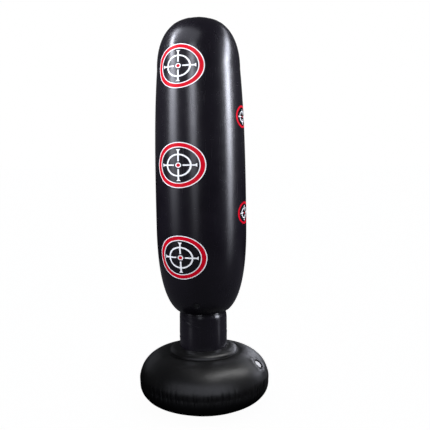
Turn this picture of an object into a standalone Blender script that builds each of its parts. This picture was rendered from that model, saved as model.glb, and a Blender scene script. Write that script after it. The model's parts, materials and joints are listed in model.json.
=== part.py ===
"""Inflatable free standing punching bag: an air column on a flexible neck, over a round base
filled with water.

Metres, +Z up. The origin is the centre of the flat patch the base stands on, and the front
faces -Y. Every PVC sheet is its own thin shell, lapped over its neighbour. Outlines and
profiles are lists of (radius, z).
"""

import math

import bmesh
import bpy
from mathutils import Matrix, Vector

# ---------------------------------------------------------------- sheets
HEIGHT = 1.600  # floor to the top of the column
SKIN = 0.0006  # thickness of a PVC sheet
LAP = 0.0009  # how far a sheet tucks in behind the one that laps over it
STEPS = 40  # facets round every big turned sheet

# ---------------------------------------------------------------- base
BASE_R = 0.2740  # at the welded equator
BASE_EQUATOR_Z = 0.1073
BASE_TOP_Z = 0.2215
BASE_TOP_R = 0.1499  # where the flat top starts to roll over
BASE_CROWNING = ((0.075, 0.0006), (0.0, 0.0010))  # radius, rise above BASE_TOP_Z
FLOOR_R = 0.0720  # flat patch on the floor
FLOOR_RING = 0.6  # place of the ring of points inside the flat patch, as a share of FLOOR_R
# Superellipse powers and stations (degrees) below and above the equator
BASE_LOW_POWER = 2.76
BASE_LOW_ANGLES = (0.0, 14.0, 28.0, 43.0, 58.0, 72.0, 82.0, 88.2, 90.0)
BASE_HIGH_POWER = 2.08
BASE_HIGH_ANGLES = (4.0, 14.0, 26.0, 38.5, 52.0, 66.0, 90.0)
WATER_Z = 0.067  # fill level
WATER_GAP = 0.001  # between the water and the inside of the skin

# ---------------------------------------------------------------- neck
COLLAR_R = 0.1445  # foot of the neck's convex flare
COLLAR_FOOT_Z = BASE_TOP_Z + 0.0012
COLLAR_TOP_Z = 0.2438
COLLAR_POWER = 2.2
COLLAR_SPANS = 7
NECK_R = 0.0990  # at both ends
NECK_BULGE = 0.0010  # added at mid height
NECK_LOW_Z = 0.2444
NECK_HIGH_Z = 0.3923
NECK_SPANS = 4
BAFFLE_Z = 0.3185  # edge of the baffle's dome
BAFFLE_R = NECK_R - 0.0022
BAFFLE_DOME = ((0.0, 0.0060), (0.0450, 0.0045), (0.0800, 0.0015))  # radius, rise
BAFFLE_RIM = 0.0120  # length of the rim that hangs from the dome's edge
BAFFLE_CORNER = 0.0008  # drop from the dome's edge to the corner inside the rim

# ---------------------------------------------------------------- column
COLUMN_R = 0.1878  # widest, at the lower dome's top
SHOULDER_R = 0.1702  # at the upper dome's foot
LOWER_DOME_Z = 0.7641
LOWER_DOME_FOOT = 0.3776  # where the lower dome would close
LOWER_POWER_Z = 2.353
LOWER_POWER_R = 3.695
SHOULDER_Z = 1.3959
UPPER_POWER_Z = 2.131
UPPER_POWER_R = 2.661
TAPER_POWER = 3.0  # how late the wall narrows towards the shoulder
WALL_FOOT_Z = 0.524
WALL_ANGLE = 49.0  # where the wall sheet ends on the upper dome
CAP_ANGLE = 64.0  # where the crown disc starts
# Heights of the outline's points, then their angles on the upper dome (degrees)
TAPER_HEIGHTS = (0.4080, 0.4280, 0.4570, 0.4930)
WALL_HEIGHTS = (
    WALL_FOOT_Z, WALL_FOOT_Z + 0.012, 0.5850, 0.6400, 0.7000,
    LOWER_DOME_Z, 0.92, 1.10, 1.26, SHOULDER_Z,
)  # fmt: skip
DOME_ANGLES = (10.0, 20.0, 29.0, 37.5, 45.2, WALL_ANGLE, 56.0, CAP_ANGLE, 68.5, 74.0, 81.5)

# ---------------------------------------------------------------- valves
# Azimuths in degrees: 0 is the front (-Y), 90 is +X
WATER_VALVE_AZIMUTH = 95.5
WATER_VALVE_Z = 0.1836
AIR_VALVE_AZIMUTH = 16.0
AIR_VALVE_Z = 0.446
HOLE_FACETS = 28
WATER_VALVE_STEPS = 28
AIR_VALVE_STEPS = 24


# ---------------------------------------------------------------- scene and materials
for old in list(bpy.data.objects):
    bpy.data.objects.remove(old, do_unlink=True)

BAG = bpy.data.collections.new("free_standing_bag")
CUTTERS = bpy.data.collections.new("cutters")
for group in (BAG, CUTTERS):
    bpy.context.scene.collection.children.link(group)


def material(name, colour, roughness):
    mat = bpy.data.materials.new(name)
    mat.use_nodes = True
    shader = mat.node_tree.nodes["Principled BSDF"]
    shader.inputs["Base Color"].default_value = (*colour, 1.0)
    shader.inputs["Roughness"].default_value = roughness
    mat.diffuse_color = (*colour, 1.0)
    return mat


PVC = material("black_pvc", colour=(0.012, 0.012, 0.014), roughness=0.34)
PVC_BASE = material("black_pvc_base", colour=(0.016, 0.016, 0.017), roughness=0.46)
MOULDED = material("moulded_black_pvc", colour=(0.02, 0.02, 0.022), roughness=0.5)
GREY_PLASTIC = material("grey_valve_plastic", colour=(0.62, 0.62, 0.63), roughness=0.35)
RUBBER = material("seal_rubber", colour=(0.03, 0.03, 0.03), roughness=0.7)
SILICONE = material("flap_silicone", colour=(0.55, 0.55, 0.52), roughness=0.4)
WATER = material("water", colour=(0.35, 0.55, 0.65), roughness=0.05)


# ---------------------------------------------------------------- building helpers
def put(name, data, mat=None, parent=None, collection=BAG):
    """A new object in the collection; data None makes an empty."""
    obj = bpy.data.objects.new(name, data)
    collection.objects.link(obj)
    if mat is not None:
        data.materials.append(mat)
    obj.parent = parent
    return obj


def turned(name, profile, mat, steps=STEPS, parent=None):
    """A solid turned about Z. A profile that starts on the axis also ends there; any other
    is closed into a loop."""
    count = len(profile)
    edges = [(i, i + 1) for i in range(count - 1)]
    if profile[0][0] > 0:
        edges.append((count - 1, 0))
    mesh = bpy.data.meshes.new(name)
    mesh.from_pydata([(radius, 0.0, z) for radius, z in profile], edges, [])
    obj = put(name, mesh, mat, parent)
    screw = obj.modifiers.new("turn", "SCREW")
    screw.steps = screw.render_steps = steps
    screw.use_merge_vertices = True
    screw.merge_threshold = 0.00001
    screw.use_smooth_shade = True
    return obj


def inset(points, distance):
    """The outline moved inwards along its normals; a point on the axis stays on it."""
    moved = []
    for i, (radius, z) in enumerate(points):
        before = points[max(i - 1, 0)]
        after = points[min(i + 1, len(points) - 1)]
        tangent = Vector((after[0] - before[0], after[1] - before[1])).normalized()
        if radius == 0.0:
            tangent = Vector((1.0 if i == 0 else -1.0, 0.0))
        normal = Vector((tangent.y, -tangent.x))
        inner_radius = 0.0 if radius == 0.0 else radius - normal.x * distance
        moved.append((inner_radius, z - normal.y * distance))
    return moved


def crossing(outline, height):
    """Radius and outward normal (radial, up) where a rising outline passes the height."""
    for (radius0, z0), (radius1, z1) in zip(outline, outline[1:]):
        if z0 <= height <= z1:
            share = (height - z0) / (z1 - z0)
            normal = Vector((z1 - z0, radius0 - radius1)).normalized()
            return radius0 + (radius1 - radius0) * share, normal
    raise ValueError(f"the outline doesn't reach {height}")


def superellipse(angle, power):
    """Point on the first quarter of a unit superellipse; the angle is in degrees."""
    turn = math.radians(angle)
    return math.cos(turn) ** (2 / power), math.sin(turn) ** (2 / power)


def sheet(name, outline, first, last, mat, tuck=0.0):
    """One welded sheet: the outline from first to last, tucked in by tuck and SKIN thick."""
    outer = inset(outline, tuck)[first : last + 1]
    inner = inset(outline, tuck + SKIN)[first : last + 1]
    if outer[0][0] == 0:  # closes on the axis at its foot
        return turned(name, inner + outer[::-1], mat)
    return turned(name, outer[::-1] + inner, mat)


# ---------------------------------------------------------------- air column
def column_radius(z):
    """Outer radius of the air column at height z."""
    if z < LOWER_DOME_Z:
        drop = (LOWER_DOME_Z - z) / (LOWER_DOME_Z - LOWER_DOME_FOOT)
        return COLUMN_R * (1 - drop**LOWER_POWER_Z) ** (1 / LOWER_POWER_R)
    if z < SHOULDER_Z:
        share = (z - LOWER_DOME_Z) / (SHOULDER_Z - LOWER_DOME_Z)
        return COLUMN_R + (SHOULDER_R - COLUMN_R) * share**TAPER_POWER
    rise = (z - SHOULDER_Z) / (HEIGHT - SHOULDER_Z)
    return SHOULDER_R * (1 - rise**UPPER_POWER_Z) ** (1 / UPPER_POWER_R)


def column_outline():
    """Points from the pinch above the neck up to the crown, and the indexes of the wall's
    first and last points and of the crown disc's first."""
    # the pinch: where the lower dome has narrowed to the neck's radius
    pinch_drop = (1 - (NECK_R / COLUMN_R) ** LOWER_POWER_R) ** (1 / LOWER_POWER_Z)
    pinch_z = LOWER_DOME_Z - (LOWER_DOME_Z - LOWER_DOME_FOOT) * pinch_drop
    heights = [pinch_z, *TAPER_HEIGHTS]
    wall_start = len(heights)
    heights += WALL_HEIGHTS
    dome_start = len(heights)
    dome_rise = HEIGHT - SHOULDER_Z
    heights += [SHOULDER_Z + dome_rise * math.sin(math.radians(a)) for a in DOME_ANGLES]
    points = [(column_radius(z), z) for z in heights] + [(0.0, HEIGHT)]
    wall_end = dome_start + DOME_ANGLES.index(WALL_ANGLE)
    cap_start = dome_start + DOME_ANGLES.index(CAP_ANGLE)
    return points, wall_start, wall_end, cap_start


def build_column():
    """The column's four sheets; returns its outline and the sheet that holds the air valve."""
    outline, wall_start, wall_end, cap_start = column_outline()
    sheet("column_wall", outline, wall_start, wall_end, PVC)
    sheet("top_dome_panel", outline, wall_end - 1, cap_start + 1, PVC, tuck=LAP)
    sheet("top_crown_disc", outline, cap_start, len(outline) - 1, PVC)
    return outline, sheet("bottom_taper_panel", outline, 0, wall_start + 1, PVC, tuck=LAP)


# ---------------------------------------------------------------- neck
def build_neck_tube():
    outer = []
    for i in range(NECK_SPANS + 1):
        share = i / NECK_SPANS
        z = NECK_LOW_Z + (NECK_HIGH_Z - NECK_LOW_Z) * share
        outer.append((NECK_R + NECK_BULGE * math.sin(math.pi * share), z))
    inner = [(radius - SKIN, z) for radius, z in outer]
    turned("neck_tube", outer[::-1] + inner, PVC)


def build_baffle():
    """The shallow dome across the neck that parts the column's air from the base's."""
    top = [(radius, BAFFLE_Z + rise) for radius, rise in BAFFLE_DOME]
    underside = [(radius, z - SKIN) for radius, z in top]
    rim = [
        (BAFFLE_R, BAFFLE_Z),
        (BAFFLE_R, BAFFLE_Z - BAFFLE_RIM),
        (BAFFLE_R - SKIN, BAFFLE_Z - BAFFLE_RIM),
        (BAFFLE_R - SKIN, BAFFLE_Z - BAFFLE_CORNER),
    ]
    turned("neck_baffle", top + rim + underside[::-1], PVC)


def build_collar():
    """The neck's foot, flared out convexly onto the base."""
    collar = []
    for i in range(COLLAR_SPANS + 1):
        across, up = superellipse(90 * i / COLLAR_SPANS, COLLAR_POWER)
        radius = NECK_R + (COLLAR_R - NECK_R) * across
        collar.append((radius, COLLAR_FOOT_Z + (COLLAR_TOP_Z - COLLAR_FOOT_Z) * up))
    turned("neck_collar", collar[::-1] + inset(collar, SKIN), PVC_BASE)


# ---------------------------------------------------------------- base
def base_outline():
    """Points from the floor's centre over the equator to the centre of the top, and the
    equator's index."""
    points = [(0.0, 0.0), (FLOOR_R * FLOOR_RING, 0.0)]
    for angle in BASE_LOW_ANGLES:
        down, across = superellipse(angle, BASE_LOW_POWER)
        points.append((FLOOR_R + (BASE_R - FLOOR_R) * across, BASE_EQUATOR_Z * (1 - down)))
    equator = len(points) - 1
    for angle in BASE_HIGH_ANGLES:
        across, up = superellipse(angle, BASE_HIGH_POWER)
        radius = BASE_TOP_R + (BASE_R - BASE_TOP_R) * across
        points.append((radius, BASE_EQUATOR_Z + (BASE_TOP_Z - BASE_EQUATOR_Z) * up))
    points += [(radius, BASE_TOP_Z + rise) for radius, rise in BASE_CROWNING]
    return points, equator


def build_base():
    """The base's two sheets; returns its outline and the sheet that holds the water valve."""
    outline, equator = base_outline()
    sheet("base_bottom_panel", outline, 0, equator + 1, PVC_BASE)
    last = len(outline) - 1
    return outline, sheet("base_top_panel", outline, equator - 1, last, PVC_BASE, tuck=LAP)


def build_water(outline):
    """The water that rights the bag, filling the base up to WATER_Z."""
    lining = inset(outline, SKIN + WATER_GAP)
    wet = [point for point in lining if point[1] < WATER_Z]
    brim_radius, _ = crossing(lining, WATER_Z)
    turned("water_ballast", [(0.0, WATER_Z), (brim_radius, WATER_Z)] + wet[::-1], WATER)


# ---------------------------------------------------------------- valve helpers
def skin_frame(name, outline, azimuth, height):
    """An empty on a tucked-in sheet, with +Z along the outward normal and +X level."""
    radius, normal_2d = crossing(inset(outline, LAP), height)
    turn = math.radians(azimuth)
    out = Vector((math.sin(turn), -math.cos(turn), 0.0))
    up = Vector((0.0, 0.0, 1.0))
    normal = (out * normal_2d.x + up * normal_2d.y).normalized()
    side = up.cross(out).normalized()
    matrix = Matrix((side, normal.cross(side), normal)).transposed().to_4x4()
    # the sheet is faceted from +X round, so its flats lie inside the true radius
    facet = 360.0 / STEPS
    off_middle = (azimuth - 90.0) % facet - facet / 2
    flattening = math.cos(math.pi / STEPS) / math.cos(math.radians(off_middle))
    matrix.translation = out * (radius * flattening) + up * height
    frame = put(name, None)
    frame.empty_display_size = 0.03
    frame.matrix_world = matrix
    return frame


def cut_round(target, frame, radius, depth):
    """A round hole through target along the frame's Z."""
    name = f"{target.name}_cutter"
    mesh = bpy.data.meshes.new(name)
    shape = bmesh.new()
    bmesh.ops.create_cone(
        shape, cap_ends=True, segments=HOLE_FACETS, radius1=radius, radius2=radius, depth=depth
    )
    shape.to_mesh(mesh)
    shape.free()
    cutter = put(name, mesh, collection=CUTTERS)
    cutter.matrix_world = frame.matrix_world.copy()
    cutter.display_type = "WIRE"
    cutter.hide_render = True
    hole = target.modifiers.new("hole", "BOOLEAN")
    hole.operation = "DIFFERENCE"
    hole.object = cutter


def valve_part(name, frame, mat, steps, profile_mm):
    """A part turned about the frame's Z. Its profile is (radius, z) in millimetres."""
    profile = [(radius / 1000, z / 1000) for radius, z in profile_mm]
    return turned(name, profile, mat, steps=steps, parent=frame)


def ring_profile(major, minor, z):
    """The eight-sided section of an O-ring."""
    angles = [math.radians(90 - 45 * i) for i in range(8)]
    return [(major + minor * math.cos(a), z + minor * math.sin(a)) for a in angles]


def strap(name, frame, reach_in, reach_out, low, high, thick, width):
    """A moulded tether: a C-shaped strip in the frame's XZ plane, open towards its Z axis."""
    middle = (low + high) / 2
    half = (high - low) / 2

    def bend(radius):
        angles = [math.radians(-90 + 30 * i) for i in range(7)]
        centre = reach_out - half
        return [(centre + radius * math.cos(a), middle + radius * math.sin(a)) for a in angles]

    outline = [(reach_in, low), *bend(half), (reach_in, high), (reach_in, high - thick)]
    outline += bend(half - thick)[::-1] + [(reach_in, low + thick)]
    curve = bpy.data.curves.new(name, "CURVE")
    curve.dimensions = "2D"
    curve.fill_mode = "BOTH"
    curve.extrude = width / 2
    spline = curve.splines.new("POLY")
    spline.points.add(len(outline) - 1)
    for point, (x, z) in zip(spline.points, outline):
        point.co = (x, z, 0.0, 1.0)
    spline.use_cyclic_u = True
    obj = put(name, curve, MOULDED, frame)
    obj.rotation_euler = (math.radians(90), 0.0, 0.0)  # stands the curve's plane upright


# ---------------------------------------------------------------- valves
def build_water_valve(outline, panel):
    """The valve in the base's top sheet that fills it with water."""
    frame = skin_frame("water_valve_frame", outline, WATER_VALVE_AZIMUTH, WATER_VALVE_Z)
    cut_round(panel, frame, radius=0.0230, depth=0.030)
    valve_part("water_valve_seat", frame, MOULDED, WATER_VALVE_STEPS, [
        (22.2, 0.9), (22.2, -7.2), (30.0, -7.2), (30.0, -8.4), (22.2, -8.4),
        (22.2, -10.4), (15.2, -10.4), (15.2, -17.0), (12.6, -17.0), (12.6, -8.8),
        (21.0, -8.8), (21.0, 0.3), (21.5, 0.9),
    ])  # fmt: skip
    seal = ring_profile(major=14.1, minor=0.9, z=-7.75)
    valve_part("water_valve_seal", frame, RUBBER, WATER_VALVE_STEPS, seal)
    valve_part("water_valve_insert", frame, MOULDED, WATER_VALVE_STEPS, [
        (16.1, -4.7), (16.5, -5.1), (16.5, -6.3), (16.1, -6.7), (12.3, -6.7),
        (12.3, -17.6), (8.2, -17.6), (8.2, -4.7),
    ])  # fmt: skip
    valve_part("water_valve_flap", frame, SILICONE, 24, [
        (0.0, -17.9), (10.0, -17.9), (10.0, -18.5), (0.0, -18.5),
    ])  # fmt: skip
    valve_part("water_valve_cap", frame, GREY_PLASTIC, WATER_VALVE_STEPS, [
        (0.0, -2.2), (12.0, -2.2), (15.4, -2.0), (16.2, -2.6), (16.2, -3.8),
        (15.8, -4.4), (7.9, -4.4), (6.4, -8.6), (5.4, -8.6), (6.2, -4.6), (0.0, -4.6),
    ])  # fmt: skip
    strap(
        "water_valve_strap", frame, reach_in=0.0168, reach_out=0.0196,
        low=-0.0060, high=-0.0026, thick=0.0009, width=0.0070,
    )  # fmt: skip


def build_air_valve(outline, panel):
    """The push-in air valve low on the column, just above the neck."""
    frame = skin_frame("air_valve_frame", outline, AIR_VALVE_AZIMUTH, AIR_VALVE_Z)
    cut_round(panel, frame, radius=0.0129, depth=0.024)
    valve_part("air_valve_seat", frame, MOULDED, AIR_VALVE_STEPS, [
        (12.3, 0.8), (12.3, -3.6), (19.5, -3.6), (19.5, -4.8), (12.3, -4.8),
        (12.3, -11.0), (11.2, -11.0), (11.2, 0.4), (11.6, 0.8),
    ])  # fmt: skip
    valve_part("air_valve_stem", frame, MOULDED, AIR_VALVE_STEPS, [
        (10.9, -1.2), (10.9, -13.5), (6.0, -13.5), (6.0, -1.2),
    ])  # fmt: skip
    valve_part("air_valve_flap", frame, SILICONE, 20, [
        (0.0, -13.8), (7.6, -13.8), (7.6, -14.3), (0.0, -14.3),
    ])  # fmt: skip
    valve_part("air_valve_plug", frame, MOULDED, AIR_VALVE_STEPS, [
        (0.0, 1.0), (6.5, 1.0), (8.2, 0.8), (8.8, 0.3), (8.8, -0.5), (8.5, -0.9),
        (5.6, -0.9), (4.2, -4.4), (3.2, -4.4), (4.2, -1.0), (0.0, -1.0),
    ])  # fmt: skip
    strap(
        "air_valve_strap", frame, reach_in=0.0091, reach_out=0.0104,
        low=-0.0009, high=0.0009, thick=0.0005, width=0.0044,
    )  # fmt: skip


# ---------------------------------------------------------------- assembly
column, taper_panel = build_column()
build_neck_tube()
build_baffle()
build_collar()
base, base_top_panel = build_base()
build_water(base)
build_water_valve(base, base_top_panel)
build_air_valve(column, taper_panel)
bpy.context.view_layer.update()  # carries the valve parts to their frames
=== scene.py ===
"""Looks of an inflatable free-standing punching bag: a tall column on a neck and a round base.

The bag stands on z = 0 about the Z axis. The printed front faces -Y and the right side is +X.
Metres throughout, except the valve profiles. A "turn" is the angle round the Z axis in
degrees, from the front towards +X. An "arc" is the length along an outline from its low end.
"""

import json
import math

import bmesh
import bpy
import numpy as np
from mathutils import Matrix, Vector

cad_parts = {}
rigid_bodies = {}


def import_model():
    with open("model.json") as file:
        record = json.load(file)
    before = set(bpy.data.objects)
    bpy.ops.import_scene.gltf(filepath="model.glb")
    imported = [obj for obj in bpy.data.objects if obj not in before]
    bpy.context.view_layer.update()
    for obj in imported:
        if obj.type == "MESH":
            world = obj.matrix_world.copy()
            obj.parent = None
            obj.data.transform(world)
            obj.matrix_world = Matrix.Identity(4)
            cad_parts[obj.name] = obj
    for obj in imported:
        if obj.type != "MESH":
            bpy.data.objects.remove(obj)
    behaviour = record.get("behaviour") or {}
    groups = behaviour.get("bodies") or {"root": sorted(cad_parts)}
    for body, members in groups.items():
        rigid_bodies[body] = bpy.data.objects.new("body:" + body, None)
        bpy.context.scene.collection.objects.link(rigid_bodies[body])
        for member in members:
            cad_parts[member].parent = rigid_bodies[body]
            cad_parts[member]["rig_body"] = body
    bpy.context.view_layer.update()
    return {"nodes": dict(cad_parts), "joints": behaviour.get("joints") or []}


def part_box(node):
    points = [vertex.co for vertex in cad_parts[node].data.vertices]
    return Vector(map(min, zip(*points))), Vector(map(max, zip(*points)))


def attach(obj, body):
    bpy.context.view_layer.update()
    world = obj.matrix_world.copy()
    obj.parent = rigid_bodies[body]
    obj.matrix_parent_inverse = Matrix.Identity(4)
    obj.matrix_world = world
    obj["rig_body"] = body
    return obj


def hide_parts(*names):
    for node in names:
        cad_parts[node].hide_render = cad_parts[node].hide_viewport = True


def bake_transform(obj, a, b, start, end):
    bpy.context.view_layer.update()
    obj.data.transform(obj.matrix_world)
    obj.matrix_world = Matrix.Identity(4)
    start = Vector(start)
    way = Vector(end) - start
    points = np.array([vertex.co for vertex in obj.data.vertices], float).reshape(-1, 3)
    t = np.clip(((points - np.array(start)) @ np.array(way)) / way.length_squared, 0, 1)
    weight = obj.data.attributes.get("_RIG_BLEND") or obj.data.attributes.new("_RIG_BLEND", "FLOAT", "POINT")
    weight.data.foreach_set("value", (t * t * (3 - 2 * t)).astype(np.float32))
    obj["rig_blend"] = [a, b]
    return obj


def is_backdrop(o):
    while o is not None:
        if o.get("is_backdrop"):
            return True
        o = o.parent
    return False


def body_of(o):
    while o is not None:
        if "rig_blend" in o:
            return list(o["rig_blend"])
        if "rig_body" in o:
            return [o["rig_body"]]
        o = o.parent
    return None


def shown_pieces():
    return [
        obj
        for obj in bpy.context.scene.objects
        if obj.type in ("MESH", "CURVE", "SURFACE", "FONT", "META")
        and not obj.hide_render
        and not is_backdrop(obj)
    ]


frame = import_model()

# ------------------------------------------------------------------ sizes
JOINTS = {j["name"]: j for j in frame["joints"]}
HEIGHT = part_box("top_crown_disc")[1].z
CROWN_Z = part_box("top_crown_disc")[0].z
COLUMN_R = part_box("column_wall")[1].x
PINCH_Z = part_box("bottom_taper_panel")[0].z

# column: lower dome, slightly tapered wall, upper dome
LOWER_DOME_Z = 0.477563 * HEIGHT
LOWER_DOME_FOOT = 0.236 * HEIGHT
LOWER_POWER_Z, LOWER_POWER_R = 2.353, 3.695
SHOULDER_Z = 0.872438 * HEIGHT
SHOULDER_R = COLUMN_R * 0.90628
UPPER_POWER_Z, UPPER_POWER_R = 2.131, 2.661
TAPER_POWER = 3.0

NECK_LOW, NECK_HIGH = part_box("neck_tube")[0].z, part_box("neck_tube")[1].z
NECK_BULGE = 0.0010
NECK_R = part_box("neck_tube")[1].x - NECK_BULGE
PIVOT_Z = JOINTS["neck_tilt_x"]["pos_m"][2]
COLLAR_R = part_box("neck_collar")[1].x
COLLAR_TOP_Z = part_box("neck_collar")[1].z
COLLAR_POWER = 2.2

BASE_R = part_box("base_bottom_panel")[1].x
BASE_TOP_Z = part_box("base_top_panel")[1].z - 0.0001
BASE_EQUATOR_Z = BASE_TOP_Z * 0.484424
FLOOR_R = 0.0720  # flat underside
BASE_TOP_R = 0.1499  # where the flat top begins
BASE_TOP_HOLE_R = 0.080
BASE_LOW_POWER, BASE_HIGH_POWER = 2.76, 2.08

SKIN = 0.0006  # sheet thickness
SHARP = 38.0  # edges steeper than this, in degrees, shade sharp
MOULDED_SHARP = 32.0
VIEW_TURN = 26.0  # the camera's turn

# where the motion of one body blends into the next
BLEND_LOW = (0, 0, BASE_TOP_Z + 0.004)
BLEND_PIVOT = (0, 0, PIVOT_Z)
BLEND_HIGH = (0, 0, PINCH_Z + 0.055)


def valve_axes(hinge, normal, offset_x, offset_z):
    """A valve's axes: origin on the sheet, X towards the hinge line, Z out of the bag."""
    z = Vector(JOINTS[normal]["axis"]).normalized()
    y = Vector(JOINTS[hinge]["axis"]).normalized()
    x = y.cross(z).normalized()
    axes = Matrix((x, y, z)).transposed().to_4x4()
    axes.translation = Vector(JOINTS[hinge]["pos_m"]) - x * offset_x - z * offset_z
    return axes


WATER = valve_axes("water_valve_cap_open", "water_valve_turn", offset_x=0.0175, offset_z=-0.0015)
AIR = valve_axes("air_valve_plug_open", "air_valve_pull", offset_x=0.0096, offset_z=0.0009)


# ------------------------------------------------------------------ noise and falloffs
def lattice(x, y, z, seed):
    """A repeatable random value in -1..1 for each whole-number lattice point."""
    code = (
        x.astype(np.int64) * 374761393
        + y.astype(np.int64) * 668265263
        + z.astype(np.int64) * 2147483647
        + seed * 1274126177
    ) & 0xFFFFFFFF
    code = ((code ^ (code >> 13)) * 1274126177) & 0xFFFFFFFF
    code = code ^ (code >> 16)
    return (code & 0xFFFF) / 32767.5 - 1.0


def wobble(points, seed):
    """Smooth value noise in -1..1 at the points (n, 3)."""
    cell = np.floor(points).astype(np.int64)
    part = points - cell
    part = part * part * part * (part * (part * 6 - 15) + 10)
    out = np.zeros(len(points))
    for dx, dy, dz in np.ndindex(2, 2, 2):
        weight = (
            (part[:, 0] if dx else 1 - part[:, 0])
            * (part[:, 1] if dy else 1 - part[:, 1])
            * (part[:, 2] if dz else 1 - part[:, 2])
        )
        out += weight * lattice(cell[:, 0] + dx, cell[:, 1] + dy, cell[:, 2] + dz, seed)
    return out


def swells(turn, along, *terms):
    """Summed noise on a turned sheet. Terms: (height, scale round, scale along, seed)."""
    angle = np.radians(turn)
    total = 0.0
    for height, scale_round, scale_along, seed in terms:
        points = [np.sin(angle) * scale_round, np.cos(angle) * scale_round, along * scale_along]
        total = total + height * wobble(np.stack(points, axis=1), seed)
    return total


def smooth(x):
    x = np.clip(x, 0.0, 1.0)
    return x * x * (3 - 2 * x)


def bell(x, width, power=2):
    """One at x = 0, falling off over the width; a higher power gives a flatter top."""
    return np.exp(-((x / width) ** power))


def turn_gap(turn, centre):
    """Signed angle from centre to turn in degrees, -180..180."""
    return (turn - centre + 180.0) % 360.0 - 180.0


def gather_field(turn, distance, radius, *, seed, count, depth, reach, width):
    """Narrow creases that run away from a seam round the bag.

    They are negative along each crease and fade with the distance from the seam.
    """
    rng = np.random.default_rng(seed)
    centres = (np.arange(count) + rng.uniform(-0.35, 0.35, count)) * (360.0 / count)
    strengths = rng.uniform(0.35, 1.0, count)
    lengths = rng.uniform(0.45, 1.0, count)
    out = np.zeros(len(turn))
    for centre, strength, length in zip(centres, strengths, lengths):
        gap = np.radians(turn_gap(turn, centre)) * radius
        near = np.abs(gap) < 4 * width
        if not near.any():
            continue
        away = np.maximum(distance[near], 0.0)
        fade = bell(away, reach * length, 1.6)
        spread = width * (0.75 + 0.5 * away / reach)
        out[near] -= depth * strength * fade * bell(gap[near], spread)
    return out


def around(turn, radius, z):
    """Points at the turns, radii and heights."""
    angle = np.radians(turn)
    return np.stack([radius * np.sin(angle), -radius * np.cos(angle), z], axis=1)


def in_axes(points, axes):
    """The points in a valve's own axes."""
    inverse = np.array(axes.inverted())
    return points @ inverse[:3, :3].T + inverse[:3, 3]


# ------------------------------------------------------------------ outlines
class Outline:
    """A profile (radius, z) by arc length, with its outward normals."""

    def __init__(self, radius, z):
        self.radius, self.z = np.asarray(radius, float), np.asarray(z, float)
        step = np.hypot(np.diff(self.radius), np.diff(self.z))
        self.arc = np.concatenate([[0.0], np.cumsum(step)])
        slope_r, slope_z = np.gradient(self.radius, self.arc), np.gradient(self.z, self.arc)
        size = np.hypot(slope_r, slope_z)
        self.normal_r, self.normal_z = slope_z / size, -slope_r / size
        self.length = self.arc[-1]

    def at(self, arc):
        """Radius, z and the normal's radial and vertical parts."""
        columns = (self.radius, self.z, self.normal_r, self.normal_z)
        return tuple(np.interp(arc, self.arc, column) for column in columns)

    def arc_of_z(self, z):
        order = np.argsort(self.z)
        return float(np.interp(z, self.z[order], self.arc[order]))


def column_radius(z):
    z = np.asarray(z, float)
    share = np.clip((LOWER_DOME_Z - z) / (LOWER_DOME_Z - LOWER_DOME_FOOT), 0, 1)
    low = COLUMN_R * (1 - share**LOWER_POWER_Z) ** (1 / LOWER_POWER_R)
    share = np.clip((z - LOWER_DOME_Z) / (SHOULDER_Z - LOWER_DOME_Z), 0, 1)
    middle = COLUMN_R + (SHOULDER_R - COLUMN_R) * share**TAPER_POWER
    share = np.clip((z - SHOULDER_Z) / (HEIGHT - SHOULDER_Z), 0, 1)
    top = SHOULDER_R * (1 - share**UPPER_POWER_Z) ** (1 / UPPER_POWER_R)
    return np.where(z < LOWER_DOME_Z, low, np.where(z < SHOULDER_Z, middle, top))


def column_outline():
    span = LOWER_DOME_Z - LOWER_DOME_FOOT
    lowest = math.asin((LOWER_DOME_Z - PINCH_Z) / span)
    upper = np.sin(np.linspace(0, math.pi / 2, 700)[1:])
    z = np.concatenate(
        [
            LOWER_DOME_Z - span * np.sin(np.linspace(lowest, 0, 400)),
            np.linspace(LOWER_DOME_Z, SHOULDER_Z, 600)[1:],
            SHOULDER_Z + (HEIGHT - SHOULDER_Z) * upper,
        ]
    )
    radius = column_radius(z)
    radius[-1] = 0.0
    return Outline(radius, z)


def quarter(count, power):
    """A quarter of a superellipse: across falls from 1 to 0 while up rises from 0 to 1."""
    angle = np.linspace(0, math.pi / 2, count)
    return np.abs(np.cos(angle)) ** (2 / power), np.sin(angle) ** (2 / power)


def base_outline():
    """The base from the middle of its underside to the hole in its top; and its equator's arc."""
    across, up = quarter(600, BASE_LOW_POWER)
    low_r = FLOOR_R + (BASE_R - FLOOR_R) * up
    low_z = BASE_EQUATOR_Z * (1 - across)
    across, up = quarter(600, BASE_HIGH_POWER)
    high_r = BASE_TOP_R + (BASE_R - BASE_TOP_R) * across[1:]
    high_z = BASE_EQUATOR_Z + (BASE_TOP_Z - BASE_EQUATOR_Z) * up[1:]
    floor_r = np.linspace(0, FLOOR_R, 60)[:-1]
    top_r = np.linspace(BASE_TOP_R, BASE_TOP_HOLE_R, 60)[1:]
    outline = Outline(
        np.concatenate([floor_r, low_r, high_r, top_r]),
        np.concatenate([floor_r * 0, low_z, high_z, np.full(len(top_r), BASE_TOP_Z)]),
    )
    return outline, outline.arc[len(floor_r) + len(low_r) - 1]


def collar_outline():
    foot = BASE_TOP_Z + 0.0002
    across, up = quarter(200, COLLAR_POWER)
    radius = NECK_R + (COLLAR_R - NECK_R) * across
    z = foot + (COLLAR_TOP_Z - foot) * up
    # a thin brim on the base
    radius = np.concatenate([[COLLAR_R + 0.006, COLLAR_R + 0.003], radius])
    z = np.concatenate([[foot - 0.0004, foot - 0.0003], z])
    return Outline(radius, z)


COLUMN = column_outline()
CROWN_ARC = COLUMN.arc_of_z(CROWN_Z)
BASE, EQUATOR_ARC = base_outline()
COLLAR = collar_outline()


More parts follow.
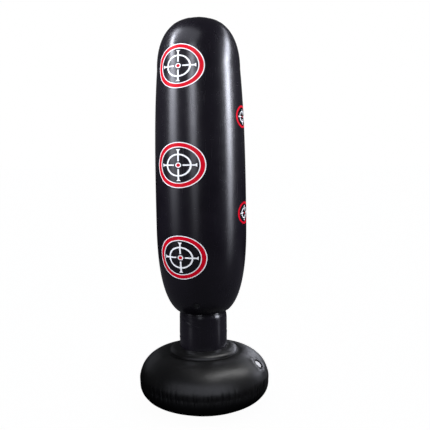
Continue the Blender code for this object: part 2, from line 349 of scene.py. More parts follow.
# ------------------------------------------------------------------ mesh helpers
def shade(mesh, sharp):
    mesh.shade_smooth()
    mesh.set_sharp_from_angle(angle=math.radians(sharp))


def new_object(name, verts, faces, material, sharp=SHARP):
    mesh = bpy.data.meshes.new(name)
    mesh.from_pydata([tuple(v) for v in verts], [], faces)
    mesh.validate()
    mesh.update()
    obj = bpy.data.objects.new(name, mesh)
    bpy.context.scene.collection.objects.link(obj)
    shade(mesh, sharp)
    mesh.materials.append(material)
    return obj


def applied(obj):
    """Replaces the object's mesh by what its modifiers make of it."""
    bpy.context.view_layer.update()
    graph = bpy.context.evaluated_depsgraph_get()
    mesh = bpy.data.meshes.new_from_object(obj.evaluated_get(graph), depsgraph=graph)
    obj.modifiers.clear()
    old = obj.data
    obj.data = mesh
    bpy.data.meshes.remove(old)
    mesh.name = obj.name


def combine(obj, tool, operation, sharp):
    """Cuts or joins the tool object, which is then removed."""
    modifier = obj.modifiers.new("combine", "BOOLEAN")
    modifier.operation = operation
    modifier.solver = "EXACT"
    modifier.object = tool
    applied(obj)
    bpy.data.objects.remove(tool)
    shade(obj.data, sharp)


def recalculate_normals(obj):
    work = bmesh.new()
    work.from_mesh(obj.data)
    bmesh.ops.recalc_face_normals(work, faces=work.faces)
    work.to_mesh(obj.data)
    work.free()


def spaced(stops):
    """Row values from (value, step) stops; the step changes smoothly between stops."""
    out = [stops[0][0]]
    for (low, low_step), (high, high_step) in zip(stops, stops[1:]):
        while out[-1] < high - 1e-9:
            share = (out[-1] - low) / (high - low)
            out.append(out[-1] + low_step + (high_step - low_step) * share)
        out[-1] = high
    return out


def skin(name, rows, surface, material, start_point=None, end_point=None):
    """A sheet woven from rings and thickened inwards.

    rows is a list of (row value, number of points), and surface maps (turns, values) to
    points. A ring may have a whole multiple of its neighbour's points.
    """
    verts, faces, starts = [], [], []
    for value, count in rows:
        starts.append(len(verts))
        verts.extend(surface(np.arange(count) * 360.0 / count, np.full(count, value)))
    for i in range(len(rows) - 1):
        low, high = starts[i], starts[i + 1]
        low_count, high_count = rows[i][1], rows[i + 1][1]
        if low_count >= high_count:
            ratio = low_count // high_count
            for k in range(high_count):
                fine = [low + (ratio * k + j) % low_count for j in range(ratio + 1)]
                faces.append(tuple(fine + [high + (k + 1) % high_count, high + k]))
        else:
            ratio = high_count // low_count
            for k in range(low_count):
                fine = [high + (ratio * k + j) % high_count for j in range(ratio + 1)]
                faces.append(tuple([low + k, low + (k + 1) % low_count] + fine[::-1]))
    if start_point is not None:
        tip, count = len(verts), rows[0][1]
        verts.append(start_point)
        for k in range(count):
            faces.append((tip, starts[0] + (k + 1) % count, starts[0] + k))
    if end_point is not None:
        tip, count = len(verts), rows[-1][1]
        verts.append(end_point)
        for k in range(count):
            faces.append((tip, starts[-1] + k, starts[-1] + (k + 1) % count))
    obj = new_object(name, verts, faces, material)
    sheet = obj.modifiers.new("sheet", "SOLIDIFY")
    sheet.thickness = SKIN
    sheet.offset = -1.0
    sheet.use_rim = True
    applied(obj)
    obj.data.set_sharp_from_angle(angle=math.radians(SHARP))
    return obj


def bore(obj, axes, radius, depth):
    """Cuts a round hole through a sheet, along the Z of the axes."""
    mesh = bpy.data.meshes.new("borer")
    shape = bmesh.new()
    bmesh.ops.create_cone(
        shape, cap_ends=True, segments=96, radius1=radius, radius2=radius, depth=depth
    )
    shape.to_mesh(mesh)
    shape.free()
    cutter = bpy.data.objects.new("borer", mesh)
    bpy.context.scene.collection.objects.link(cutter)
    cutter.matrix_world = axes
    combine(obj, cutter, "DIFFERENCE", SHARP)
    bpy.data.meshes.remove(mesh)


def rounded(points, radius, steps=4):
    """The closed profile with each corner off the axis rounded, where there is room for it."""
    out = []
    for i, point in enumerate(points):
        if point[0] <= 1e-9:
            out.append(point)
            continue
        corner = Vector(point)
        before = Vector(points[i - 1]) - corner
        after = Vector(points[(i + 1) % len(points)]) - corner
        before_length, after_length = before.length, after.length
        if before_length < 1e-6 or after_length < 1e-6:
            out.append(point)
            continue
        cut = min(radius, 0.45 * before_length, 0.45 * after_length)
        before, after = before / before_length, after / after_length
        if before.dot(after) < -0.995:
            out.append(point)
            continue
        start, end = corner + before * cut, corner + after * cut
        for k in range(steps + 1):
            t = k / steps
            bent = start * (1 - t) ** 2 + corner * 2 * t * (1 - t) + end * t**2
            out.append((bent.x, bent.y))
    return out


def lathe(name, profile, material, axes, sides=96, closed=True, shape=None):
    """A piece turned about the Z of the axes, from a profile of (radius, height) in mm.

    An open profile starts and ends on the axis. shape(angle, index) may scale the radius
    of a profile point.
    """
    verts, faces, rings = [], [], []
    for i, (radius, z) in enumerate(profile):
        if radius <= 1e-9:
            rings.append([len(verts)] * sides)
            verts.append((0.0, 0.0, z / 1000))
            continue
        rings.append(list(range(len(verts), len(verts) + sides)))
        for k in range(sides):
            angle = 2 * math.pi * k / sides
            scaled = radius * (shape(angle, i) if shape else 1.0) / 1000
            verts.append((scaled * math.cos(angle), scaled * math.sin(angle), z / 1000))
    count = len(profile)
    for i in range(count if closed else count - 1):
        ring, following = rings[i], rings[(i + 1) % count]
        for k in range(sides):
            m = (k + 1) % sides
            # a ring on the axis is one vertex, so its faces are triangles
            face = tuple(dict.fromkeys((ring[k], following[k], following[m], ring[m])))
            if len(face) > 2:
                faces.append(face)
    obj = new_object(name, verts, faces, material, sharp=MOULDED_SHARP)
    obj.data.transform(axes)
    return obj


def add_lug(obj, axes, centre, size, bevel):
    """Welds a small bevelled block onto a moulded piece."""
    bpy.ops.mesh.primitive_cube_add(size=1.0)
    block = bpy.context.object
    block.name = "feature"
    block.data.transform(Matrix.Diagonal((*size, 1.0)))
    block.data.transform(Matrix.Translation(centre))
    block.data.transform(axes)
    edge = block.modifiers.new("edge", "BEVEL")
    edge.width = bevel
    edge.segments = 2
    edge.limit_method = "NONE"
    applied(block)
    combine(obj, block, "UNION", MOULDED_SHARP)


def place(obj, body, node):
    """Tells the frame which body the piece rides, and hides the node it replaces."""
    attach(obj, body)
    if node:
        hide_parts(node)


# ------------------------------------------------------------------ materials
class Look:
    """A material's node tree in object coordinates, with short ways to add to it."""

    def __init__(self, name):
        self.material = bpy.data.materials.new(name)
        self.material.use_nodes = True
        self.tree = self.material.node_tree
        self.shader = self.tree.nodes["Principled BSDF"]
        self.where = self.add("ShaderNodeTexCoord").outputs["Object"]

    def feed(self, socket, value):
        """Links another node's output, or sets a plain value (colours without alpha)."""
        if isinstance(value, bpy.types.NodeSocket):
            self.tree.links.new(value, socket)
        elif socket.type == "RGBA":
            socket.default_value = (*value, 1.0)
        else:
            socket.default_value = value

    def add(self, kind, **values):
        """A new node. Each value goes to the input of that name, or else to the property."""
        node = self.tree.nodes.new(kind)
        for key, value in values.items():
            if key in node.inputs.keys():
                self.feed(node.inputs[key], value)
            else:
                setattr(node, key, value)
        return node

    def set(self, name, value):
        self.feed(self.shader.inputs[name], value)

    def noise(self, scale, detail, rough, stretch=None):
        where = self.where
        if stretch:
            mapping = self.add("ShaderNodeMapping", Scale=stretch, Vector=where)
            where = mapping.outputs["Vector"]
        node = self.add(
            "ShaderNodeTexNoise", Scale=scale, Detail=detail, Roughness=rough, Vector=where
        )
        return node.outputs["Fac"]

    def ranged(self, value, source, target=(0.0, 1.0)):
        """The value carried from the source range to the target range."""
        node = self.add("ShaderNodeMapRange", Value=value)
        names = ("From Min", "From Max", "To Min", "To Max")
        for name, number in zip(names, (*source, *target)):
            node.inputs[name].default_value = number
        return node.outputs["Result"]

    def total(self, first, second):
        node = self.add("ShaderNodeMath", operation="ADD")
        self.feed(node.inputs[0], first)
        self.feed(node.inputs[1], second)
        return node.outputs[0]

    def mixed(self, factor, first, second):
        node = self.add("ShaderNodeMix", data_type="RGBA", Factor=factor)
        # sockets 6 and 7 are the two colours, output 2 their mix
        self.feed(node.inputs[6], first)
        self.feed(node.inputs[7], second)
        return node.outputs[2]

    def bump(self, height, strength, distance, under=None):
        """A bump normal, laid over another one if given."""
        node = self.add("ShaderNodeBump", Strength=strength, Distance=distance, Height=height)
        if under is not None:
            self.feed(node.inputs["Normal"], under)
        return node.outputs["Normal"]

    def pebble(self, strength, depth, peel_depth):
        """The sheet's fine pebble grain under a slight orange peel."""
        cell = self.add("ShaderNodeTexVoronoi", Scale=1150.0, Vector=self.where)
        grain = self.bump(cell.outputs["Distance"], strength, depth)
        peel = self.noise(scale=85.0, detail=3.0, rough=0.5)
        self.set("Normal", self.bump(peel, strength=0.5, distance=peel_depth, under=grain))


def sheet_material(name, dark, light, rough, pebble_depth, peel_depth, scuff, painted_shade_below=None):
    """Calendered PVC: cloudy tone, pale specks, rubbed patches and hairline scuffs.

    A (low, high) height range may be given, over which the sheen fades downwards: painted shade on the
    underside.
    """
    look = Look(name)
    sheen = 0.5
    cloud = look.noise(scale=7.0, detail=4.0, rough=0.6)
    colour = look.mixed(look.ranged(cloud, (0.3, 0.7)), dark, light)
    dust = look.noise(scale=520.0, detail=2.0, rough=0.7)
    specks = look.ranged(dust, (0.70, 0.80), (0.0, 0.35))
    pale = tuple(min(1.0, c * 2.2 + 0.02) for c in light)
    look.set("Base Color", look.mixed(specks, colour, pale))

    patch = look.noise(scale=16.0, detail=5.0, rough=0.62)
    upright = look.noise(scale=60.0, detail=3.0, rough=0.7, stretch=(1.0, 1.0, 0.06))
    level = look.noise(scale=55.0, detail=3.0, rough=0.7, stretch=(0.5, 0.9, 6.0))
    rub = look.ranged(patch, (0.35, 0.75), (-0.020, 0.035))
    lines = look.total(
        look.ranged(upright, (0.60, 0.70), (0.0, scuff)),
        look.ranged(level, (0.66, 0.74), (0.0, scuff * 0.6)),
    )
    look.set("Roughness", look.total(look.total(rub, lines), rough))
    look.set("Specular IOR Level", sheen)
    # painted shade: the sheen fades towards the bottom
    if painted_shade_below:
        height = look.add("ShaderNodeSeparateXYZ", Vector=look.where).outputs["Z"]
        look.set("Specular IOR Level", look.ranged(height, painted_shade_below, (0.10, sheen)))
    look.pebble(strength=0.5, depth=pebble_depth, peel_depth=peel_depth)
    return look.material


def ink_material(name, colour, deep, rough, specular):
    """Screen-printed ink: slightly uneven cover and pinholes over the sheet's grain."""
    look = Look(name)
    cover = look.noise(scale=45.0, detail=4.0, rough=0.6)
    base = look.mixed(look.ranged(cover, (0.35, 0.72)), colour, deep)
    pin = look.noise(scale=900.0, detail=2.0, rough=0.6)
    holes = look.ranged(pin, (0.69, 0.76), (0.0, 0.55))
    look.set("Base Color", look.mixed(holes, base, tuple(c * 0.45 for c in deep)))
    uneven = look.ranged(cover, (0.3, 0.7), (-0.03, 0.05))
    look.set("Roughness", look.total(uneven, rough))
    look.set("Specular IOR Level", specular)
    look.pebble(strength=0.4, depth=0.00003, peel_depth=0.00022)
    return look.material


def moulded_material(name, dark, light, rough, specular=0.5, subsurface=0.0):
    """Injection-moulded plastic: faint flow marks, fine texture and handling wear."""
    look = Look(name)
    flow = look.noise(scale=140.0, detail=4.0, rough=0.6, stretch=(1.0, 0.35, 1.0))
    look.set("Base Color", look.mixed(look.ranged(flow, (0.3, 0.7)), dark, light))
    wear = look.noise(scale=320.0, detail=3.0, rough=0.65)
    look.set("Roughness", look.total(look.ranged(wear, (0.3, 0.7), (-0.06, 0.08)), rough))
    look.set("Specular IOR Level", specular)
    texture = look.noise(scale=2400.0, detail=2.0, rough=0.5)
    fine = look.bump(texture, strength=0.35, distance=0.00004)
    look.set("Normal", look.bump(flow, strength=0.4, distance=0.00006, under=fine))
    if subsurface:
        look.set("Subsurface Weight", subsurface)
        look.set("Subsurface Radius", (0.002, 0.002, 0.002))
    return look.material


def water_material(name):
    look = Look(name)
    ripple = look.noise(scale=14.0, detail=2.0, rough=0.5)
    tone = look.ranged(ripple, (0.3, 0.7))
    look.set("Base Color", look.mixed(tone, (0.50, 0.66, 0.70), (0.62, 0.75, 0.78)))
    look.set("Roughness", 0.05)
    look.set("Transmission Weight", 0.85)
    look.set("IOR", 1.333)
    look.set("Normal", look.bump(ripple, strength=0.3, distance=0.0008))
    return look.material


COLUMN_PVC = sheet_material(
    "column_pvc", dark=(0.0050, 0.0041, 0.0066), light=(0.0086, 0.0072, 0.0108), rough=0.25,
    pebble_depth=0.00005, peel_depth=0.00010, scuff=0.07,
)
# the base's sheet loses its sheen low down: painted shade under the base
BASE_PVC = sheet_material(
    "base_pvc", dark=(0.0034, 0.0034, 0.0037), light=(0.0060, 0.0060, 0.0064), rough=0.42,
    pebble_depth=0.00009, peel_depth=0.00030, scuff=0.08, painted_shade_below=(0.058, 0.096),
)
MOULDED = moulded_material(
    "moulded_pvc", dark=(0.012, 0.012, 0.013), light=(0.022, 0.022, 0.024), rough=0.42
)
# a darker, duller copy of the moulded plastic for the water valve's cup: painted shade in its recess
MOULDED_SHADED = moulded_material(
    "moulded_pvc_shaded", dark=(0.006, 0.006, 0.0065), light=(0.011, 0.011, 0.012), rough=0.60,
    specular=0.12,
)
CAP_PLASTIC = moulded_material(
    "valve_cap_plastic", dark=(0.50, 0.50, 0.51), light=(0.60, 0.60, 0.61), rough=0.36,
    subsurface=0.05,
)
SEAL = moulded_material(
    "seal_rubber", dark=(0.016, 0.016, 0.016), light=(0.03, 0.03, 0.03), rough=0.7
)
FLAP = moulded_material(
    "flap_silicone", dark=(0.48, 0.48, 0.45), light=(0.60, 0.60, 0.57), rough=0.4,
    subsurface=0.2,
)
WATER_LOOK = water_material("water")
INKS = {
    "print_red": ink_material(
        "print_red", colour=(0.56, 0.0015, 0.014), deep=(0.49, 0.0010, 0.010), rough=0.38,
        specular=0.08,
    ),
    "print_white": ink_material(
        "print_white", colour=(0.86, 0.87, 0.88), deep=(0.79, 0.80, 0.82), rough=0.34,
        specular=0.28,
    ),
}


# ------------------------------------------------------------------ column
PINCH_CURL = 0.0052  # how far the sheets curl in where neck and column meet
WELD_HALF = 0.0075  # half the width of the vertical weld


def pinch_side(turn):
    """Share of the curl at the pinch: strongest to the right of the camera's view."""
    return 0.25 + 0.75 * bell(turn_gap(turn, VIEW_TURN + 48.0), 48.0)


def crown_relief(turn, arc, radius, z):
    """Gathers into the crown disc, its welded edge and its uneven middle."""
    edge = CROWN_ARC - arc
    relief = smooth(edge / 0.002 + 0.5) * gather_field(
        turn, edge - 0.004, 0.10, seed=11, count=58, depth=0.0007, reach=0.030, width=0.0022
    )
    relief -= 0.0007 * bell(edge, 0.0022)
    relief += 0.0005 * bell(edge - 0.007, 0.0045)
    relief += smooth(-edge / 0.004) * swells(turn, z, (0.00035, radius * 60, 0, 6))
    return relief


def back_weld_relief(turn, arc, radius, z):
    """The vertical weld at the back: a raised, ribbed strip between two grooves."""
    gap = np.abs(np.radians(turn_gap(turn, 180.0)) * np.maximum(radius, 0.02))
    shown = smooth((arc - 0.035) / 0.02) * smooth((CROWN_ARC - 0.02 - arc) / 0.02)
    strip = smooth((WELD_HALF - gap) / 0.0015)
    ribs = 0.00010 * np.sin(z * 2 * math.pi / 0.0065)
    grooves = 0.0006 * bell(gap - WELD_HALF - 0.0020, 0.0018)
    return shown * (0.00055 * strip - grooves + strip * ribs)


def air_valve_relief(turn, radius, z):
    """The sheet dips at the air valve and rises in a ring round it."""
    here = around(turn, radius, z)
    local = in_axes(here, AIR)
    away = np.hypot(local[:, 0], local[:, 1])
    near = (np.abs(z - AIR.translation.z) < 0.08) & (here @ np.array(AIR.translation) > 0)
    return np.where(near, 0.0009 * bell(away - 0.020, 0.006) - 0.0004 * bell(away, 0.014), 0.0)


def column_relief(turn, arc, radius, z):
    """Height of the real sheet over the smooth outline."""
    relief = swells(
        turn, z, (0.00055, 2.2, 2.4, 3), (0.00014, 5.0, 5.0, 4), (0.000022, 14.0, 22.0, 5)
    )
    relief += crown_relief(turn, arc, radius, z)
    # gathers and curl above the pinch
    relief += gather_field(
        turn, arc - 0.002, NECK_R, seed=12, count=46, depth=0.0011, reach=0.038, width=0.0028
    )
    relief -= pinch_side(turn) * PINCH_CURL * bell(arc, 0.0085, 1.5)
    relief += back_weld_relief(turn, arc, radius, z)
    relief += air_valve_relief(turn, radius, z)
    return relief


def on_column(turn, arc, raised=0.0):
    radius, z, normal_r, normal_z = COLUMN.at(arc)
    relief = column_relief(turn, arc, radius, z) + raised
    return around(turn, np.maximum(radius + normal_r * relief, 0.0), z + normal_z * relief)


def column_count(arc):
    """Points in a ring: fewer towards the tip."""
    if arc < COLUMN.length - 0.02:
        return 216
    return 72 if arc < COLUMN.length - 0.008 else 24


column_arcs = spaced(
    [
        (0.0, 0.0016),
        (0.03, 0.003),
        (0.10, 0.0075),
        (CROWN_ARC - 0.07, 0.0075),
        (CROWN_ARC - 0.03, 0.0022),
        (CROWN_ARC + 0.004, 0.0015),
        (COLUMN.length - 0.004, 0.006),
    ]
)
column_rows = [(arc, column_count(arc)) for arc in column_arcs]
column = skin("column_skin", column_rows, on_column, COLUMN_PVC, end_point=(0.0, 0.0, HEIGHT))
bore(column, AIR, radius=0.0127, depth=0.024)
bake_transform(column, "neck", "column", start=BLEND_PIVOT, end=BLEND_HIGH)
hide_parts("column_wall", "top_dome_panel", "top_crown_disc", "bottom_taper_panel")


# ------------------------------------------------------------------ prints
INK = 0.00028  # height of the ink's top over the sheet
INK_ROOT = -0.00030  # its underside, inside the sheet

# A print is made of pieces. Each is a grid of u, a grid of v (shares of the target's half
# width and half height) and whether the grid closes on itself.


def band(inner, outer, segments=144, steps=3):
    """A ring between two radii. It runs inwards so that the top faces out."""
    radius = np.linspace(outer, inner, steps + 1)[:, None]
    angle = np.arange(segments)[None, :] * 2 * math.pi / segments
    return radius * np.cos(angle), radius * np.sin(angle), True


def dot(radius, segments=48):
    return band(radius * 0.02, radius, segments, steps=4)


def bars(inner, outer, half, flare_from, flare_half):
    """The four bars of the cross hair, flared at their outer ends."""
    along = np.concatenate(
        [np.linspace(inner, flare_from, 10), np.linspace(flare_from, outer, 5)[1:]]
    )
    flare = (flare_half - half) * smooth((along - flare_from) / (outer - flare_from))
    width = np.where(along <= flare_from, half, half + flare)
    side = np.linspace(-1, 1, 5)[:, None] * width[None, :]
    along = np.repeat(along[None, :], 5, axis=0)
    out = []
    for heading in (0, 90, 180, 270):
        cos, sin = math.cos(math.radians(heading)), math.sin(math.radians(heading))
        out.append((along * cos - side * sin, along * sin + side * cos, False))
    return out


def print_patch(pieces, centre_turn, centre_z, half_width, half_height, raised):
    """Closed thin patches of ink on the column: vertices and faces."""
    centre_arc = COLUMN.arc_of_z(centre_z)
    span = math.degrees(half_width / float(column_radius(centre_z)))
    verts, faces = [], []
    for u, v, closed in pieces:
        row_count, column_count = u.shape
        turn = centre_turn + u.ravel() * span
        arc = centre_arc + v.ravel() * half_height
        first = len(verts)
        verts.extend(on_column(turn, arc, raised))
        verts.extend(on_column(turn, arc, INK_ROOT))

        def top(i, j):
            return first + i * column_count + j % column_count

        def under(i, j):
            return top(i, j) + row_count * column_count

        end_row, end_column = row_count - 1, column_count - 1
        across = column_count if closed else end_column
        for i in range(end_row):
            for j in range(across):
                faces.append((top(i, j), top(i, j + 1), top(i + 1, j + 1), top(i + 1, j)))
                faces.append(
                    (under(i, j), under(i + 1, j), under(i + 1, j + 1), under(i, j + 1))
                )
        for j in range(across):
            faces.append((under(0, j), under(0, j + 1), top(0, j + 1), top(0, j)))
            i = end_row
            faces.append((top(i, j), top(i, j + 1), under(i, j + 1), under(i, j)))
        if not closed:
            for i in range(end_row):
                faces.append((under(i, 0), top(i, 0), top(i + 1, 0), under(i + 1, 0)))
                j = end_column
                faces.append((top(i, j), under(i, j), under(i + 1, j), top(i + 1, j)))
    return verts, faces


# parts of a target: name, slot, height of the ink, pieces
LARGE_TARGET = (
    ("white", "print_white", INK, [band(0.965, 1.0), band(0.768, 0.804)]),
    ("cross", "print_white", INK, [band(0.433, 0.498)]),
    (
        "bars", "print_white", INK + 0.00003,
        bars(inner=0.172, outer=0.69, half=0.031, flare_from=0.61, flare_half=0.080),
    ),
    ("hub", "print_white", INK, [band(0.073, 0.113, segments=64, steps=2)]),
    ("red", "print_red", INK - 0.00004, [band(0.802, 0.967, steps=5), dot(0.077)]),
)
SMALL_TARGET = (
    ("cross", "print_white", INK, [band(0.42, 0.495, segments=96)]),
    (
        "bars", "print_white", INK + 0.00003,
        bars(inner=0.19, outer=0.66, half=0.036, flare_from=0.58, flare_half=0.070),
    ),
    ("red", "print_red", INK, [band(0.82, 1.0, segments=120, steps=4), dot(0.085, segments=32)]),
)


def print_target(name, parts, turn, z, half_width, half_height):
    for part, slot, raised, pieces in parts:
        verts, faces = print_patch(pieces, turn, z, half_width, half_height, raised)
        obj = new_object(f"{name}_{part}", verts, faces, INKS[slot], sharp=50.0)
        recalculate_normals(obj)
        place(obj, "column", None)


# label, z, half width, half height
for label, z, half_width, half_height in (
    ("top", 1.393, 0.1062, 0.0857),
    ("middle", 1.0113, 0.1132, 0.0895),
    ("bottom", 0.6464, 0.1100, 0.0884),
):
    print_target(f"front_target_{label}", LARGE_TARGET, -1.5, z, half_width, half_height)
for side, sign in (("right", 1.0), ("left", -1.0)):
    for label, z, turn in (("upper", 1.199, 97.0), ("lower", 0.812, 95.5)):
        print_target(
            f"{side}_target_{label}", SMALL_TARGET, sign * turn, z,
            half_width=0.0590, half_height=0.0455,
        )


# ------------------------------------------------------------------ neck
# short folds: turn of the middle, height over the pivot, half width in degrees, slope
NECK_FOLDS = (
    (150.0, 0.046, 26.0, 0.10),
    (205.0, 0.020, 30.0, -0.12),
    (262.0, 0.052, 24.0, 0.05),
    (308.0, -0.026, 30.0, 0.09),
    (110.0, -0.008, 26.0, -0.07),
)


def neck_radius(turn, z):
    share = (z - NECK_LOW) / (NECK_HIGH - NECK_LOW)
    radius = NECK_R + NECK_BULGE * np.sin(math.pi * np.clip(share, 0, 1))
    radius += swells(turn, z, (0.0007, 2.2, 14.0, 21))
    # the tube curls in under the column
    curl = smooth((z - (NECK_HIGH - 0.020)) / 0.020)
    radius -= pinch_side(turn) * PINCH_CURL * curl**1.6
    # above the weld the tube's edge runs on inside the column
    radius -= 0.45 * np.maximum(z - NECK_HIGH - 0.001, 0.0)
    # a soft roll below the curl
    radius += 0.0008 * pinch_side(turn) * bell(z - (NECK_HIGH - 0.028), 0.012)
    # a diagonal crease left of the middle, as seen from the camera
    along = turn_gap(turn, VIEW_TURN)
    line = PIVOT_Z + 0.029 + 0.020 * (-13.0 - along) / 45.0
    radius += bell(along + 36.0, 27.0, 4) * (
        0.0008 * bell(z - line + 0.006, 0.0065) - 0.0010 * bell(z - line - 0.003, 0.0055)
    )
    for centre, height, half_turn, slope in NECK_FOLDS:
        gap = turn_gap(turn, centre)
        middle = PIVOT_Z + height + slope * np.radians(gap) * NECK_R
        radius += bell(gap, half_turn, 4) * (
            0.0009 * bell(z - middle + 0.006, 0.006) - 0.0012 * bell(z - middle, 0.0042)
        )
    # gathers at the upper and the lower weld
    radius += gather_field(
        turn, np.maximum(NECK_HIGH - z, 0.0), NECK_R,
        seed=31, count=40, depth=0.0005, reach=0.022, width=0.0024,
    )
    radius += gather_field(
        turn, z - NECK_LOW, NECK_R, seed=32, count=52, depth=0.0007, reach=0.016, width=0.0022
    )
    return radius


def on_neck(turn, z):
    return around(turn, neck_radius(turn, z), z)


def neck_piece(name, low, high, bodies, start, end, node=None):
    heights = spaced([(low, 0.0018), ((low + high) / 2, 0.0026), (high, 0.0018)])
    obj = skin(name, [(z, 192) for z in heights], on_neck, COLUMN_PVC)
    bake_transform(obj, *bodies, start=start, end=end)
    if node:
        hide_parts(node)


neck_piece(
    "neck_tube_lower", NECK_LOW - 0.0008, PIVOT_Z, ("base", "neck"),
    start=BLEND_LOW, end=BLEND_PIVOT, node="neck_tube",
)
neck_piece(
    "neck_tube_upper", PIVOT_Z, NECK_HIGH + 0.0095, ("neck", "column"),
    start=BLEND_PIVOT, end=BLEND_HIGH,
)


# ------------------------------------------------------------------ collar
def on_collar(turn, arc):
    radius, z, normal_r, normal_z = COLLAR.at(arc)
    relief = swells(turn, arc, (0.0005, 2.5, 30, 41))
    # gathers at the neck and at the foot
    relief += gather_field(
        turn, COLLAR.length - arc, NECK_R,
        seed=42, count=52, depth=0.0009, reach=0.018, width=0.0024,
    )
    relief += gather_field(
        turn, arc - 0.006, COLLAR_R, seed=43, count=64, depth=0.0007, reach=0.012, width=0.0026
    )
    # the weld bead the neck stands on
    relief += 0.0009 * bell(COLLAR.length - arc - 0.0035, 0.0016)
    return around(turn, radius + normal_r * relief, z + normal_z * relief)


collar_arcs = spaced(
    [(0.0, 0.002), (0.012, 0.0014), (COLLAR.length - 0.01, 0.0016), (COLLAR.length, 0.0010)]
)
collar = skin("neck_collar_flare", [(arc, 192) for arc in collar_arcs], on_collar, BASE_PVC)
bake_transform(collar, "base", "neck", start=BLEND_LOW, end=BLEND_PIVOT)
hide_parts("neck_collar")


# ------------------------------------------------------------------ base
PUCKERS = 90
# the weld pulls in along the lower edge of the strip where the two sheets lap
WELD_ARC = EQUATOR_ARC - 0.0105
LAP = 0.0009
# points in a ring: near the seam, elsewhere, and under the floor disc
SEAM_COUNT, OPEN_COUNT, FLOOR_COUNT = 720, 240, 120


def base_relief(turn, arc):
    """Swells of both sheets, and their puckers at the seam."""
    relief = swells(turn, arc, (0.0009, 2.0, 9.0, 61), (0.00035, 6.0, 28.0, 62))
    away = np.abs(arc - WELD_ARC)
    relief += gather_field(
        turn, away, BASE_R, seed=51, count=PUCKERS, depth=0.0050, reach=0.027, width=0.0038
    )
    relief += gather_field(
        turn, away, BASE_R, seed=52, count=PUCKERS // 2, depth=0.0012, reach=0.045, width=0.0060
    )
    relief -= 0.0005 * bell(away, 0.0060, 1.5)
    # the sheets pillow a little beyond the seam
    relief += 0.0007 * bell(away - 0.024, 0.016)
    return relief


def water_valve_relief(turn, radius, z):
    """A dip and a raised ring round the water valve, with rays across the ring."""
    here = around(turn, radius, z)
    local = in_axes(here, WATER)
    away = np.hypot(local[:, 0], local[:, 1])
    angle = np.arctan2(local[:, 1], local[:, 0])
    pull = 0.0016 * bell(away - 0.036, 0.009) - 0.0016 * bell(away - 0.020, 0.008)
    rays = 0.0006 * np.cos(angle * 9 + 0.7 * np.sin(angle * 2)) * bell(away - 0.034, 0.011)
    return np.where(here @ np.array(WATER.translation) > 0, pull + rays, 0.0)


def on_base_top(turn, arc):
    radius, z, normal_r, normal_z = BASE.at(arc)
    relief = base_relief(turn, arc) + water_valve_relief(turn, radius, z)
    # the sheet sinks a little beside the collar
    relief -= 0.0012 * bell(radius - COLLAR_R - 0.006, 0.008) * (arc > EQUATOR_ARC + 0.1)
    # it drops away from the lapped strip, and a little at its very edge
    relief -= LAP * smooth((arc - EQUATOR_ARC - 0.010) / 0.035)
    relief -= 0.00025 * (1 - smooth((arc - EQUATOR_ARC) / 0.003))
    return around(turn, radius + normal_r * relief, z + normal_z * relief)


def on_base_low(turn, arc):
    radius, z, normal_r, normal_z = BASE.at(arc)
    flat_r = FLOOR_R + 0.004
    fade = np.where(radius < flat_r, 0.0, smooth((radius - flat_r) / 0.03))
    relief = base_relief(turn, arc) * fade
    return around(turn, radius + normal_r * relief, np.maximum(z + normal_z * relief, 0.0))


def rows_of(count, *stops):
    return [(value, count) for value in spaced(stops)]


base_top_rows = rows_of(SEAM_COUNT, (EQUATOR_ARC - 0.001, 0.0013), (EQUATOR_ARC + 0.045, 0.0030))
base_top_rows += rows_of(
    OPEN_COUNT,
    (EQUATOR_ARC + 0.049, 0.0042),
    (EQUATOR_ARC + 0.15, 0.0042),
    (BASE.length - 0.012, 0.0042),
)
base_top = skin("base_top_skin", base_top_rows, on_base_top, BASE_PVC)
bore(base_top, WATER, radius=0.0227, depth=0.030)
place(base_top, "base", "base_top_panel")

base_low_rows = rows_of(FLOOR_COUNT, (0.02, 0.012), (FLOOR_R - 0.004, 0.006))
base_low_rows += rows_of(OPEN_COUNT, (FLOOR_R, 0.0035), (EQUATOR_ARC - 0.060, 0.0042))
base_low_rows += rows_of(
    SEAM_COUNT,
    (EQUATOR_ARC - 0.055, 0.0030),
    (WELD_ARC, 0.0013),
    (EQUATOR_ARC + 0.0008, 0.0013),
)
base_low = skin(
    "base_bottom_skin", base_low_rows, on_base_low, BASE_PVC, start_point=(0.0, 0.0, 0.0)
)
place(base_low, "base", "base_bottom_panel")


# ------------------------------------------------------------------ valve parts
def valve_part(name, profile, material, axes, body, node, slot, lug=None, **turning):
    """A turned valve part, with an optional lug welded on."""
    obj = lathe(name, profile, material, axes, **turning)
    if lug:
        add_lug(obj, axes, **lug)
    place(obj, body, node)


